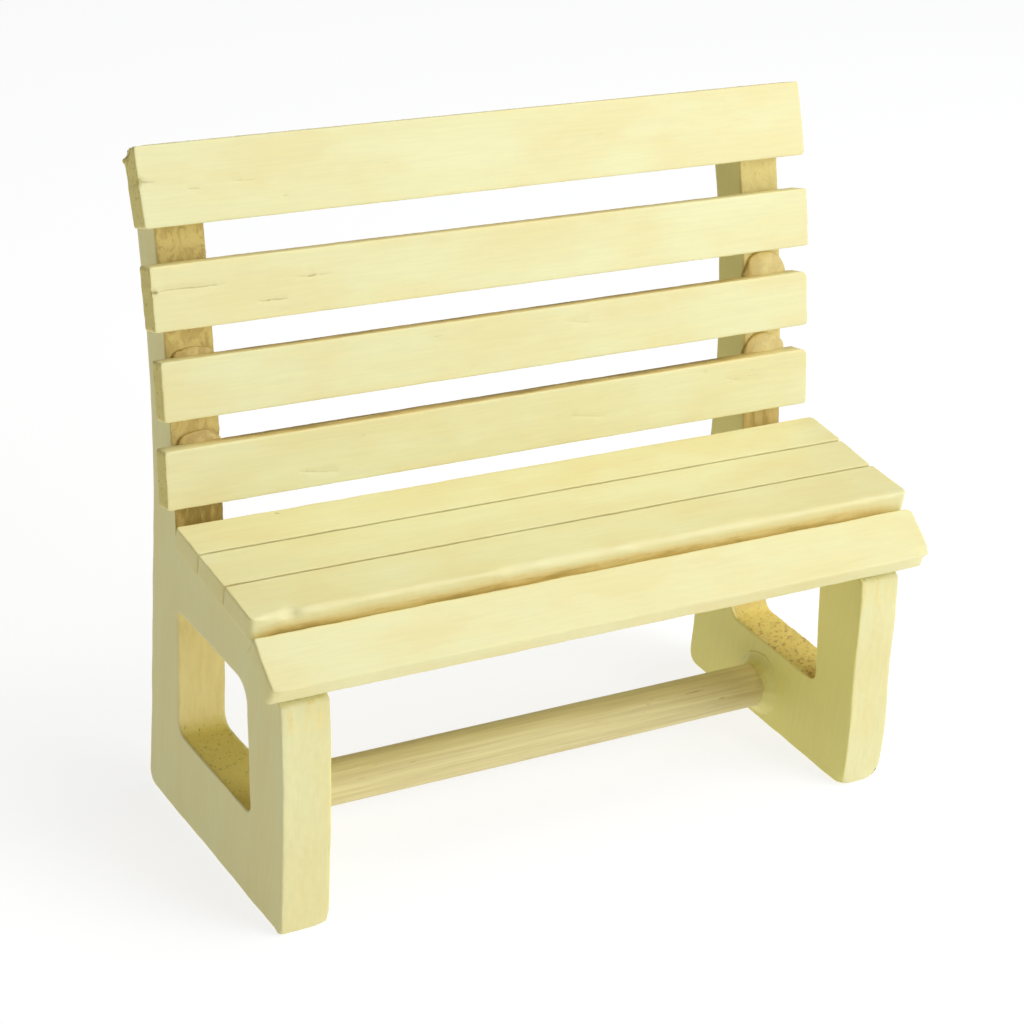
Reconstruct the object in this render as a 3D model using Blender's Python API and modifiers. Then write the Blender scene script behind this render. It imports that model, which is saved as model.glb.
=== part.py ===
"""Miniature slatted garden bench, built as glued wooden pieces.

Two shaped side frames carry four back slats, three seat slats and a sloping front
board, and a dowel stretcher ties the frames together near the floor.

Metres, +Z up. The bench stands on Z = 0 and faces -Y, and its length runs along X.
Profile points are (y, z) pairs, with y = 0 at the front of the posts at seat height.
"""

import math

import bmesh
import bpy
from mathutils import Vector

MM = 0.001
BENCH_NAME = "slatted_bench"

# Clearance that stands for a glue line between two touching faces.
TOUCH = 0.3 * MM

# Strips that the slats and the front board are cut from.
SLAT_LENGTH = 100.0 * MM
STRIP_THICKNESS = 3.1 * MM
SEAT_SLAT_WIDTH = 7.15 * MM
BACK_SLAT_WIDTH = 7.65 * MM
TOP_SLAT_WIDTH = 10.0 * MM
FRONT_BOARD_WIDTH = 7.7 * MM
STRIP_ARRIS = 0.25 * MM

# Seat: its rear top edge is level with SEAT_HEIGHT, and it falls towards the front.
SEAT_HEIGHT = 42.4 * MM
SEAT_FALL = math.radians(5.3)
SEAT_SLAT_COUNT = 3
SEAT_SEAM = 0.35 * MM
SEAT_TO_POST = 3.3 * MM
SEAT_SIDE_SHIFT = 0.9 * MM

# Front board: it slopes down from the seat's front arris, which it stands above.
FRONT_BOARD_SLOPE = math.radians(32.6)
FRONT_BOARD_LIP = 1.3 * MM
NOSE_BELOW_FRONT_BOARD = 0.6 * MM

# Back: the posts' front is an arc, and the slats climb it from the seat with these gaps.
RECLINE_AT_SEAT = math.radians(10.6)
BACK_RADIUS = 274.0 * MM
BACK_GAPS = (1.4 * MM, 3.5 * MM, 3.9 * MM, 4.9 * MM)
BACK_SLAT_SHIFTS = (0.1 * MM, 0.4 * MM, 0.1 * MM, -0.2 * MM)
POST_TOP_SETBACK = 3.6 * MM
POST_TOP_THICKNESS = 5.6 * MM

# Side frames: each is one board with a window cut in it.
SLAT_OVERHANG = 2.55 * MM
FRAME_THICKNESS = 6.5 * MM
HEEL_BEHIND_POST = 4.8 * MM
BACK_LEG_LEAN = math.radians(2.2)
BACK_LEG_STRAIGHT = 36.0 * MM
LEG_FRONT_RADIUS = 125.0 * MM
LEG_FRONT_STRAIGHT = 4.0 * MM
TOE_RADIUS = 0.7 * MM
HEEL_RADIUS = 2.0 * MM
RAIL_CORNER_RADIUS = 0.8 * MM
FRAME_ARRIS = 0.3 * MM

# Window in each side frame, set by the wood that is left around it.
BOTTOM_RAIL = 12.1 * MM
TOP_RAIL = 6.1 * MM
FRONT_LEG_WIDTH = 9.3 * MM
BACK_LEG_WIDTH_LOW = 8.8 * MM
BACK_LEG_WIDTH_HIGH = 7.6 * MM
WINDOW_TOP_FRONT_RADIUS = 3.5 * MM
WINDOW_TOP_BACK_RADIUS = 1.2 * MM
WINDOW_LOW_FRONT_RADIUS = 1.0 * MM
WINDOW_LOW_BACK_RADIUS = 2.0 * MM

# Stretcher: a dowel glued into a blind bore in the inner face of each frame.
DOWEL_DIAMETER = 6.3 * MM
DOWEL_HEIGHT = 5.2 * MM
DOWEL_BEHIND_TOE = 21.6 * MM
BORE_DEPTH = 4.5 * MM
DOWEL_SIDES = 48

# Steps along the long arcs and round each fillet.
ARC_STEPS = 14
FILLET_STEPS = 6

FRAME_OUTER_X = SLAT_LENGTH / 2 - SLAT_OVERHANG
FRAME_MIDDLE_X = FRAME_OUTER_X - FRAME_THICKNESS / 2
FRAME_INNER_X = FRAME_OUTER_X - FRAME_THICKNESS


# ---------------------------------------------------------------- profile geometry

def seat_axes():
    """Forward direction along the seat and its upward normal, as (y, z) vectors."""
    forward = Vector((-math.cos(SEAT_FALL), -math.sin(SEAT_FALL)))
    normal = Vector((-math.sin(SEAT_FALL), math.cos(SEAT_FALL)))
    return forward, normal


def seat_point(distance, depth):
    """Point of the seat a distance forward of its rear top edge and a depth below it."""
    forward, normal = seat_axes()
    return Vector((-SEAT_TO_POST, SEAT_HEIGHT)) + forward * distance - normal * depth


def seat_depth():
    return SEAT_SLAT_COUNT * SEAT_SLAT_WIDTH + (SEAT_SLAT_COUNT - 1) * SEAT_SEAM


def front_board_axes():
    """Rearward direction along the front board and its outward normal."""
    rearward = Vector((math.cos(FRONT_BOARD_SLOPE), math.sin(FRONT_BOARD_SLOPE)))
    normal = Vector((-math.sin(FRONT_BOARD_SLOPE), math.cos(FRONT_BOARD_SLOPE)))
    return rearward, normal


def front_board_point(distance, depth):
    """Point a distance down the front board from its rear edge and a depth below its top."""
    rearward, normal = front_board_axes()
    arris = seat_point(seat_depth(), STRIP_THICKNESS)
    corner = arris - rearward * TOUCH + normal * FRONT_BOARD_LIP
    return corner - rearward * distance - normal * depth


def back_angle(climb):
    """Recline of the back where it has been climbed a distance from seat height."""
    return RECLINE_AT_SEAT + climb / BACK_RADIUS


def back_point(climb, outward):
    """Point of the back at a climb along the arc, standing outward of the posts' front."""
    angle = back_angle(climb)
    y = BACK_RADIUS * (math.cos(RECLINE_AT_SEAT) - math.cos(angle))
    z = BACK_RADIUS * (math.sin(angle) - math.sin(RECLINE_AT_SEAT))
    front = Vector((-math.cos(angle), math.sin(angle)))
    return Vector((y, SEAT_HEIGHT + z)) + front * outward


def back_slat_width(index):
    return TOP_SLAT_WIDTH if index == len(BACK_GAPS) - 1 else BACK_SLAT_WIDTH


def back_slat_climb(index):
    """Climb to the middle of a back slat, counted from the seat."""
    climb = sum(BACK_GAPS[:index + 1])
    climb += sum(back_slat_width(lower) for lower in range(index))
    return climb + back_slat_width(index) / 2


def crossing(point_a, direction_a, point_b, direction_b):
    """Point where two lines in the profile plane meet."""
    across = direction_a.x * direction_b.y - direction_a.y * direction_b.x
    offset = point_b - point_a
    step = (offset.x * direction_b.y - offset.y * direction_b.x) / across
    return point_a + direction_a * step


def arc(centre, start, end, steps):
    """Points round a centre from start to end, the shorter way, with both ends."""
    first = start - centre
    last = end - centre
    shares = [step / steps for step in range(steps + 1)]
    return [centre + first.slerp(last, share) * first.length for share in shares]


def fillet(before, corner, after, radius):
    """Points of the arc that rounds a corner between its two neighbours."""
    to_before = (before - corner).normalized()
    to_after = (after - corner).normalized()
    half = to_before.angle(to_after) / 2
    centre = corner + (to_before + to_after).normalized() * (radius / math.sin(half))
    reach = radius / math.tan(half)
    return arc(centre, corner + to_before * reach, corner + to_after * reach, FILLET_STEPS)


def tangent_arc(start, heading, end):
    """Arc that leaves start along heading and reaches end, without its start point."""
    chord = end - start
    sideways = Vector((heading.y, -heading.x))
    radius = chord.length_squared / (2 * chord.dot(sideways))
    return arc(start + sideways * radius, start, end, ARC_STEPS)[1:]


# ---------------------------------------------------------------- side frame outline

def post_top():
    """Front and back corners of the post's square-cut top end."""
    top_slat = len(BACK_GAPS) - 1
    climb = back_slat_climb(top_slat) + TOP_SLAT_WIDTH / 2 - POST_TOP_SETBACK
    return back_point(climb, 0.0), back_point(climb, -POST_TOP_THICKNESS), climb


def back_edge(z):
    """Point of the back leg's straight rear edge at a height."""
    return Vector((HEEL_BEHIND_POST + z * math.tan(BACK_LEG_LEAN), z))


def nose():
    """Corner of the frame just past the front board's lower edge."""
    return front_board_point(FRONT_BOARD_WIDTH + NOSE_BELOW_FRONT_BOARD, STRIP_THICKNESS + TOUCH)


def leg_front(z):
    """Point of the leg's curved front edge, which is upright below LEG_FRONT_STRAIGHT."""
    top = nose()
    rise = top.y - LEG_FRONT_STRAIGHT
    sweep = max(z - LEG_FRONT_STRAIGHT, 0.0)
    toe_y = top.x - (LEG_FRONT_RADIUS - math.sqrt(LEG_FRONT_RADIUS ** 2 - rise ** 2))
    bow = LEG_FRONT_RADIUS - math.sqrt(LEG_FRONT_RADIUS ** 2 - sweep ** 2)
    return Vector((toe_y + bow, z))


def frame_outline():
    """Outside of a side frame, from the toe round by the heel, the post and the seat."""
    toe = leg_front(0.0)
    heel = back_edge(0.0)
    bend = back_edge(BACK_LEG_STRAIGHT)
    top_front, top_back, top_climb = post_top()

    points = fillet(leg_front(LEG_FRONT_STRAIGHT), toe, heel, TOE_RADIUS)
    points += fillet(toe, heel, bend, HEEL_RADIUS)
    points.append(bend)
    points += tangent_arc(bend, (bend - heel).normalized(), top_back)

    climbs = [top_climb * (1 - step / ARC_STEPS) for step in range(ARC_STEPS + 1)]
    points += [back_point(climb, 0.0) for climb in climbs]

    seat_forward = seat_axes()[0]
    rail = seat_point(0.0, STRIP_THICKNESS + TOUCH)
    post_foot = back_point(0.0, 0.0)
    post_down = -Vector((math.sin(RECLINE_AT_SEAT), math.cos(RECLINE_AT_SEAT)))
    rail_back = crossing(post_foot, post_down, rail, seat_forward)
    board_rearward = front_board_axes()[0]
    facet = front_board_point(0.0, STRIP_THICKNESS + TOUCH)
    rail_front = crossing(rail, seat_forward, facet, board_rearward)
    points += fillet(post_foot, rail_back, rail_front, RAIL_CORNER_RADIUS)
    points.append(rail_front)

    height = nose().y - LEG_FRONT_STRAIGHT
    heights = [nose().y - height * step / ARC_STEPS for step in range(ARC_STEPS + 1)]
    points += [leg_front(z) for z in heights]
    return points


def window_outline():
    """Window of a side frame, with a different fillet at each corner."""
    low = BOTTOM_RAIL
    facet = front_board_point(0.0, STRIP_THICKNESS + TOUCH)
    high = facet.y - TOP_RAIL
    low_back = back_edge(low) - Vector((BACK_LEG_WIDTH_LOW, 0.0))
    high_back = back_edge(high) - Vector((BACK_LEG_WIDTH_HIGH, 0.0))
    low_front = Vector((leg_front(0.0).x + FRONT_LEG_WIDTH, low))
    high_front = Vector((nose().x + FRONT_LEG_WIDTH, high))

    points = fillet(high_front, low_front, low_back, WINDOW_LOW_FRONT_RADIUS)
    points += fillet(low_front, low_back, high_back, WINDOW_LOW_BACK_RADIUS)
    points += fillet(low_back, high_back, high_front, WINDOW_TOP_BACK_RADIUS)
    points += fillet(high_back, high_front, low_front, WINDOW_TOP_FRONT_RADIUS)
    return points


# ---------------------------------------------------------------- Blender helpers

def clear_scene():
    for leftover in list(bpy.data.objects):
        bpy.data.objects.remove(leftover, do_unlink=True)


def new_collection(name):
    collection = bpy.data.collections.new(name)
    bpy.context.scene.collection.children.link(collection)
    return collection


def wood(name, colour, roughness):
    material = bpy.data.materials.new(name)
    material.use_nodes = True
    shader = material.node_tree.nodes["Principled BSDF"]
    shader.inputs["Base Color"].default_value = (*colour, 1.0)
    shader.inputs["Roughness"].default_value = roughness
    shader.inputs["Metallic"].default_value = 0.0
    return material


def add_object(name, mesh, collection, material=None):
    piece = bpy.data.objects.new(name, mesh)
    collection.objects.link(piece)
    if material:
        mesh.materials.append(material)
    return piece


def soften(piece, width, segments):
    """Round over the sharp edges of a piece."""
    bevel = piece.modifiers.new("soft_edges", "BEVEL")
    bevel.width = width
    bevel.segments = segments
    bevel.limit_method = "ANGLE"
    bevel.angle_limit = math.radians(40)


def block_mesh(name, length, depth, height):
    """Box with its size in the mesh, so that a bevel keeps one width all round."""
    shape = bmesh.new()
    bmesh.ops.create_cube(shape, size=1.0)
    bmesh.ops.scale(shape, vec=(length, depth, height), verts=shape.verts)
    mesh = bpy.data.meshes.new(name)
    shape.to_mesh(mesh)
    shape.free()
    return mesh


def rod_mesh(name, diameter, length):
    """Cylinder that runs along X."""
    shape = bmesh.new()
    bmesh.ops.create_cone(shape, cap_ends=True, segments=DOWEL_SIDES, radius1=diameter / 2,
                          radius2=diameter / 2, depth=length)
    turn = Vector((0.0, 0.0, 1.0)).rotation_difference(Vector((1.0, 0.0, 0.0))).to_matrix()
    bmesh.ops.rotate(shape, cent=(0.0, 0.0, 0.0), matrix=turn, verts=shape.verts)
    mesh = bpy.data.meshes.new(name)
    shape.to_mesh(mesh)
    shape.free()
    mesh.shade_smooth()
    mesh.set_sharp_from_angle(angle=math.radians(40))
    return mesh


def outline_curve(name, outlines, thickness, collection):
    """Flat curve filled between its outlines and extruded to a thickness."""
    curve = bpy.data.curves.new(name, "CURVE")
    curve.dimensions = "2D"
    curve.fill_mode = "BOTH"
    curve.extrude = thickness / 2
    for outline in outlines:
        spline = curve.splines.new("POLY")
        spline.points.add(len(outline) - 1)
        for target, point in zip(spline.points, outline):
            target.co = (point.x, point.y, 0.0, 1.0)
        spline.use_cyclic_u = True
    blank = bpy.data.objects.new(name, curve)
    collection.objects.link(blank)
    return blank


def curve_to_mesh(blank, name, collection, material):
    """Turn a curve object into a closed mesh object in the same place."""
    bpy.context.view_layer.update()
    evaluated = blank.evaluated_get(bpy.context.evaluated_depsgraph_get())
    mesh = bpy.data.meshes.new_from_object(evaluated)
    shape = bmesh.new()
    shape.from_mesh(mesh)
    bmesh.ops.remove_doubles(shape, verts=shape.verts, dist=0.001 * MM)
    shape.to_mesh(mesh)
    shape.free()
    mesh.name = name
    place = blank.matrix_world.copy()
    bpy.data.objects.remove(blank, do_unlink=True)
    piece = add_object(name, mesh, collection, material)
    piece.matrix_world = place
    return piece


# ---------------------------------------------------------------- pieces

def dowel_place():
    """Middle of the stretcher as (y, z)."""
    return Vector((leg_front(0.0).x + DOWEL_BEHIND_TOE, DOWEL_HEIGHT))


def bore_cutter(name, side, collection):
    """Cutter for the blind bore in one frame's inner face."""
    mesh = rod_mesh(name, DOWEL_DIAMETER + 2 * TOUCH, 2 * BORE_DEPTH)
    cutter = add_object(name, mesh, collection)
    cutter.location = (side * FRAME_INNER_X, dowel_place().x, dowel_place().y)
    cutter.hide_render = True
    cutter.display_type = "WIRE"
    return cutter


def side_frame(name, side, collection, cutters, material):
    outlines = (frame_outline(), window_outline())
    blank = outline_curve(name, outlines, FRAME_THICKNESS, collection)
    blank.rotation_euler = (math.radians(90), 0.0, math.radians(90))
    blank.location.x = side * FRAME_MIDDLE_X
    frame = curve_to_mesh(blank, name, collection, material)
    soften(frame, FRAME_ARRIS, 1)
    bore = frame.modifiers.new("dowel_bore", "BOOLEAN")
    bore.operation = "DIFFERENCE"
    bore.object = bore_cutter(f"{name}_bore", side, cutters)
    return frame


def strip(name, size, centre, angle, shift, collection, material):
    """Strip along X whose section is tilted in the profile plane."""
    piece = add_object(name, block_mesh(name, SLAT_LENGTH, *size), collection, material)
    soften(piece, STRIP_ARRIS, 2)
    piece.location = (shift, centre.x, centre.y)
    piece.rotation_euler.x = angle
    return piece


def seat_slat(number, collection, material):
    distance = (number - 1) * (SEAT_SLAT_WIDTH + SEAT_SEAM) + SEAT_SLAT_WIDTH / 2
    centre = seat_point(distance, STRIP_THICKNESS / 2)
    size = (SEAT_SLAT_WIDTH, STRIP_THICKNESS)
    return strip(f"seat_slat_{number}", size, centre, SEAT_FALL, SEAT_SIDE_SHIFT,
                 collection, material)


def front_board(collection, material):
    centre = front_board_point(FRONT_BOARD_WIDTH / 2, STRIP_THICKNESS / 2)
    size = (FRONT_BOARD_WIDTH, STRIP_THICKNESS)
    return strip("front_board", size, centre, FRONT_BOARD_SLOPE, SEAT_SIDE_SHIFT,
                 collection, material)


def back_slat(index, collection, material):
    """Back slat, counted from the seat but numbered from the top."""
    climb = back_slat_climb(index)
    centre = back_point(climb, TOUCH + STRIP_THICKNESS / 2)
    size = (STRIP_THICKNESS, back_slat_width(index))
    return strip(f"back_slat_{len(BACK_GAPS) - index}", size, centre, -back_angle(climb),
                 BACK_SLAT_SHIFTS[index], collection, material)


def stretcher(collection, material):
    length = 2 * (FRAME_INNER_X + BORE_DEPTH - TOUCH)
    dowel = add_object("stretcher_dowel", rod_mesh("stretcher_dowel", DOWEL_DIAMETER, length),
                       collection, material)
    dowel.location = (0.0, dowel_place().x, dowel_place().y)
    return dowel


def centre_over_origin(pieces, cutters):
    """Hang everything on one empty, moved so that the bench is centred over the origin."""
    bpy.context.view_layer.update()
    depsgraph = bpy.context.evaluated_depsgraph_get()
    corners = []
    for piece in pieces:
        evaluated = piece.evaluated_get(depsgraph)
        corners += [evaluated.matrix_world @ vertex.co for vertex in evaluated.data.vertices]
    anchor = bpy.data.objects.new(f"{BENCH_NAME}_anchor", None)
    pieces[0].users_collection[0].objects.link(anchor)
    for child in pieces + cutters:
        child.parent = anchor
    for axis in range(2):
        values = [corner[axis] for corner in corners]
        anchor.location[axis] = -(min(values) + max(values)) / 2


def build_bench():
    clear_scene()
    bench = new_collection(BENCH_NAME)
    cutters = new_collection(f"{BENCH_NAME}_cutters")
    pale_wood = wood("pale_wood", (0.83, 0.77, 0.42), 0.6)
    dowel_wood = wood("dowel_wood", (0.66, 0.53, 0.27), 0.55)

    pieces = [
        side_frame("side_frame_left", -1, bench, cutters, pale_wood),
        side_frame("side_frame_right", 1, bench, cutters, pale_wood),
        stretcher(bench, dowel_wood),
        front_board(bench, pale_wood),
    ]
    for number in range(1, SEAT_SLAT_COUNT + 1):
        pieces.append(seat_slat(number, bench, pale_wood))
    for index in range(len(BACK_GAPS)):
        pieces.append(back_slat(index, bench, pale_wood))
    centre_over_origin(pieces, list(cutters.objects))


build_bench()
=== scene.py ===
# %% [markdown]
# # A miniature slatted bench
#
# The real object is a doll's-house bench, glued up from eight thin strips of pale wood, two
# sawn side boards and one dowel. This lesson rebuilds its looks over a fixed frame: the frame
# says where each part is, and the cells below cut, wear and finish each part again with the
# detail that bare solids lack. All positions are in metres, and the bench stands on z = 0.

# %% Load the frame
import math

import bpy
import numpy as np
from mathutils import Matrix, Vector, noise
from mathutils.geometry import delaunay_2d_cdt


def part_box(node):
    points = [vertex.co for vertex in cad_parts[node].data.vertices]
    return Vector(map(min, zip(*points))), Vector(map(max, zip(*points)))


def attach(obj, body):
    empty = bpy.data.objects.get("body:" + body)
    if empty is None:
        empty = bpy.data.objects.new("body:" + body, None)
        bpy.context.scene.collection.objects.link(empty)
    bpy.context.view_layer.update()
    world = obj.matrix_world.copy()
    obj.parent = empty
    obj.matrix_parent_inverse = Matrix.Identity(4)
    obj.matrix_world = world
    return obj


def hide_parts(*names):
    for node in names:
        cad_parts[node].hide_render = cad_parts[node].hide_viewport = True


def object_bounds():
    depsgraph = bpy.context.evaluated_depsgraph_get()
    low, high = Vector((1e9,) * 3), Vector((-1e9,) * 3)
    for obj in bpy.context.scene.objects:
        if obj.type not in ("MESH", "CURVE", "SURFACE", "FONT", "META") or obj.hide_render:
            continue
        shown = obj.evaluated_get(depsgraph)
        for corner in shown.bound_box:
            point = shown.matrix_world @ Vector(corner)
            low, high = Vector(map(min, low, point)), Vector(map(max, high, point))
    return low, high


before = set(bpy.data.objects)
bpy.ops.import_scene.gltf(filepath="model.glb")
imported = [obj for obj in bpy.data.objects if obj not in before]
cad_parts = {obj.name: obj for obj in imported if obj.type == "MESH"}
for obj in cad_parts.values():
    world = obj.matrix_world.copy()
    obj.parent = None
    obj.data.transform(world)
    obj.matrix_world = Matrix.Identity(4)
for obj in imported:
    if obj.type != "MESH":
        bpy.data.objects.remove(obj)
cad_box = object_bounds()
MM = 0.001
print("bench size in mm:", [round(v / MM, 1) for v in cad_box[1] - cad_box[0]])

# %% [markdown]
# ## The camera
#
# The bench is seen from its front left corner and from above, with the camera leaning a few
# degrees. An orbit is the easiest way to say that: a point to aim at, two angles, a distance,
# and a roll about the line of sight. A long lens, used from further off, keeps the perspective
# mild, so the far end of the seat looks nearly as wide as the near end.

# %% Place the camera
VIEW_AZIMUTH = math.radians(-33.36)
VIEW_ELEVATION = math.radians(26.06)
VIEW_DISTANCE = 358.9 * MM
VIEW_ROLL = math.radians(5.74)
AIM_OFFSET = Vector((-3.3, -0.6, -4.9)) * MM
LENS_MM = 94.9
SENSOR_MM = 36


def orbit_direction(azimuth, elevation):
    """Unit vector from the bench to a thing that stands round it; azimuth 0 is the front."""
    flat = math.cos(elevation)
    return Vector((math.sin(azimuth) * flat, -math.cos(azimuth) * flat, math.sin(elevation)))


def place_camera():
    """Looks at the bench from the front left, rolled about the line of sight."""
    data = bpy.data.cameras.new("bench_camera")
    data.lens = LENS_MM
    data.sensor_width = SENSOR_MM
    data.clip_start = 10 * MM
    data.clip_end = 20
    camera = bpy.data.objects.new("bench_camera", data)
    bpy.context.scene.collection.objects.link(camera)
    aim = (cad_box[0] + cad_box[1]) / 2 + AIM_OFFSET
    away = orbit_direction(VIEW_AZIMUTH, VIEW_ELEVATION)
    level = (-away).to_track_quat("-Z", "Y").to_matrix()
    camera.matrix_world = (
        Matrix.Translation(aim + away * VIEW_DISTANCE)
        @ (level @ Matrix.Rotation(VIEW_ROLL, 3, "Z")).to_4x4()
    )
    bpy.context.scene.camera = camera
    return camera


camera = place_camera()
print("camera at", [round(v / MM, 1) for v in camera.location], "mm")

# %% [markdown]
# ## Small helpers for nodes
#
# A shader is a graph of boxes and wires. Writing it in Python stays readable when one short
# helper adds a box, sets its options and plugs in its inputs. An input is either a plain value,
# which is set on the socket, or the output of another box, which is wired to it.

# %% Node helpers
def add(tree, kind, inputs=None, **options):
    """Adds a node. Inputs are given by name or number, as values or as other nodes' outputs."""
    made = tree.nodes.new("ShaderNode" + kind)
    for name, value in options.items():
        setattr(made, name, value)
    for key, value in (inputs or {}).items():
        if isinstance(value, bpy.types.NodeSocket):
            tree.links.new(value, made.inputs[key])
        else:
            made.inputs[key].default_value = value
    return made


def math_node(tree, operation, a, b=0.0, clamp=False):
    """The output of one sum, product or other piece of arithmetic."""
    made = add(tree, "Math", {0: a, 1: b}, operation=operation, use_clamp=clamp)
    return made.outputs[0]


def times(tree, a, b):
    """The output of a product."""
    return math_node(tree, "MULTIPLY", a, b)


def blend(tree, factor, under, over, kind="MIX"):
    """Lays one colour over another."""
    made = add(tree, "Mix", {0: factor, 6: under, 7: over}, data_type="RGBA", blend_type=kind)
    return made.outputs[2]


def step_up(tree, value, low, high, bottom=0.0, top=1.0):
    """A smooth step: bottom below low, top above high."""
    made = add(
        tree,
        "MapRange",
        {0: value, 1: low, 2: high, 3: bottom, 4: top},
        interpolation_type="SMOOTHSTEP",
    )
    return made.outputs[0]


def worn(tree, name):
    """A number stored on the mesh's points, such as how bare the wood is there."""
    return add(tree, "Attribute", attribute_name=name).outputs["Fac"]


def new_finish(name):
    """An empty material with its output, ready for a shader."""
    made = bpy.data.materials.new(name)
    made.use_nodes = True
    made.node_tree.nodes.clear()
    return made, made.node_tree

# %% [markdown]
# ## The floor
#
# The bench stands on a plain white sweep, and one big square is enough for it. The square has a
# glow of its own, as a sweep has that is lit from edge to edge. That keeps it white, and sends
# light up under the seat. Its base colour is dark, so only faint shadows fall on it.

# %% Lay the floor
FLOOR_SIDE = 8.0
FLOOR_GLOW = 0.79


def lay_floor():
    """A large white square just under the soles."""
    half = FLOOR_SIDE / 2
    corners = [(-half, -half, 0), (half, -half, 0), (half, half, 0), (-half, half, 0)]
    mesh = bpy.data.meshes.new("floor")
    mesh.from_pydata(corners, [], [(0, 1, 2, 3)])
    floor = bpy.data.objects.new("floor", mesh)
    bpy.context.scene.collection.objects.link(floor)
    floor.location.z = -0.02 * MM
    finish, tree = new_finish("white_sweep")
    shader = add(
        tree,
        "BsdfPrincipled",
        {
            "Base Color": (0.26, 0.26, 0.26, 1),
            "Roughness": 0.9,
            "Specular IOR Level": 0.1,
            "Emission Color": (1, 1, 1, 1),
            "Emission Strength": FLOOR_GLOW,
        },
    )
    add(tree, "OutputMaterial", {"Surface": shader.outputs[0]})
    mesh.materials.append(finish)
    return floor


floor = lay_floor()
print("floor side in m:", FLOOR_SIDE)

# %% [markdown]
# ## The light
#
# A dim even sky fills the shadows. One broad light stands to the front right like a window, and
# leaves the left side of the bench in gentle shade. Another hangs high up, and lights the seat
# and the upper edges of the slats. Both are large beside so small a thing, which is what makes
# their shadows soft.

# %% Hang the lights
SKY_STRENGTH = 0.19
LIGHTS = (
    # name, azimuth, elevation, distance in m, width in m, power in watts, colour
    ("window_light", 42, 22, 0.75, 0.55, 3.65, (0.945, 0.985, 1.07)),
    ("ceiling_light", 70, 72, 0.8, 0.5, 3.9, (1.0, 1.0, 0.98)),
)


def hang_light(name, azimuth, elevation, distance, width, power, colour):
    """A soft square light that faces the middle of the bench."""
    data = bpy.data.lights.new(name, "AREA")
    data.shape = "SQUARE"
    data.size = width
    data.energy = power
    data.color = colour
    lamp = bpy.data.objects.new(name, data)
    bpy.context.scene.collection.objects.link(lamp)
    middle = (cad_box[0] + cad_box[1]) / 2
    away = orbit_direction(math.radians(azimuth), math.radians(elevation))
    lamp.location = middle + away * distance
    lamp.rotation_euler = away.to_track_quat("Z", "Y").to_euler()
    return lamp


def make_sky():
    """An even white sky all round."""
    sky = bpy.data.worlds.new("soft_sky")
    sky.use_nodes = True
    sky.node_tree.nodes.clear()
    glow = add(sky.node_tree, "Background", {0: (1, 1, 1, 1), 1: SKY_STRENGTH})
    add(sky.node_tree, "OutputWorld", {0: glow.outputs[0]})
    bpy.context.scene.world = sky


make_sky()
for light in LIGHTS:
    hang_light(*light)
bpy.context.scene.view_settings.view_transform = "Standard"
print("lights:", [light[0] for light in LIGHTS])

# %% [markdown]
# ## Where each strip lies
#
# Every strip of the bench is a flat bar along x, tipped back or forward. The frame's mesh knows
# by how much: its largest triangle lies in the strip's face. From that face come three axes,
# and the mesh measured along them gives the strip's length, width and thickness.

# %% Read a strip from the frame
def largest_face_normal(mesh):
    """The direction that the biggest long face of a strip looks in."""
    long_faces = [face for face in mesh.polygons if abs(face.normal.x) < 0.01]
    return max(long_faces, key=lambda face: face.area).normal.copy()


def read_strip(name):
    """A strip's lower left corner on its middle plane, its axes, and its size in mm."""
    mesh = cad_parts[name].data
    out = largest_face_normal(mesh)
    if out.dot(Vector((0, -1, 1))) < 0:
        out.negate()
    along = Vector((1, 0, 0))
    across = out.cross(along)
    points = np.array([v.co[:] for v in mesh.vertices])
    spans = [points @ np.array(axis) for axis in (along, across, out)]
    low = [span.min() for span in spans]
    high = [span.max() for span in spans]
    corner = along * low[0] + across * low[1] + out * (low[2] + high[2]) / 2
    size = [(b - a) / MM for a, b in zip(low, high)]
    return {"corner": corner, "axes": (along, across, out), "size": size}


SEAT_STRIPS = ("seat_slat_1", "seat_slat_2", "seat_slat_3")
BACK_STRIPS = ("back_slat_1", "back_slat_2", "back_slat_3", "back_slat_4")
strips = {name: read_strip(name) for name in (*BACK_STRIPS, *SEAT_STRIPS, "front_board")}
for name, strip in strips.items():
    print(name, [round(v, 2) for v in strip["size"]])

# %% [markdown]
# ## Cutting a board
#
# Strips and side boards are made in one way, the way they are made in wood: an outline is sawn
# from flat stock, then the sharp edges are rubbed down. In mesh terms, the outline becomes a
# band of rings that goes round the edge, with a rounded corner on each side, and the two flat
# faces are filled with well shaped triangles. `delaunay_2d_cdt` does the filling. It also takes
# loose points, and a face with points inside it can be dented, which a single big polygon
# can't.

# %% Loops: spacing, direction and distance
def even_loop(points, spacing):
    """The same closed loop with points an equal distance apart."""
    ends = np.vstack([points, points[:1]])
    lengths = np.hypot(*np.diff(ends, axis=0).T)
    travelled = np.concatenate([[0], np.cumsum(lengths)])
    count = max(8, int(round(travelled[-1] / spacing)))
    stops = np.arange(count) * travelled[-1] / count
    return np.column_stack([np.interp(stops, travelled, ends[:, i]) for i in (0, 1)])


def loop_normals(points):
    """Unit vectors that point away from the wood, for an outline that runs anticlockwise."""
    step = np.roll(points, -1, axis=0) - np.roll(points, 1, axis=0)
    out = np.column_stack([step[:, 1], -step[:, 0]])
    return out / np.linalg.norm(out, axis=1)[:, None]


def nearest(points, loops):
    """How far each point is from the nearest point of any loop."""
    rim = np.vstack(loops)
    gaps = points[:, None, :] - rim[None, :, :]
    return np.sqrt((gaps**2).sum(axis=2).min(axis=1))


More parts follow.
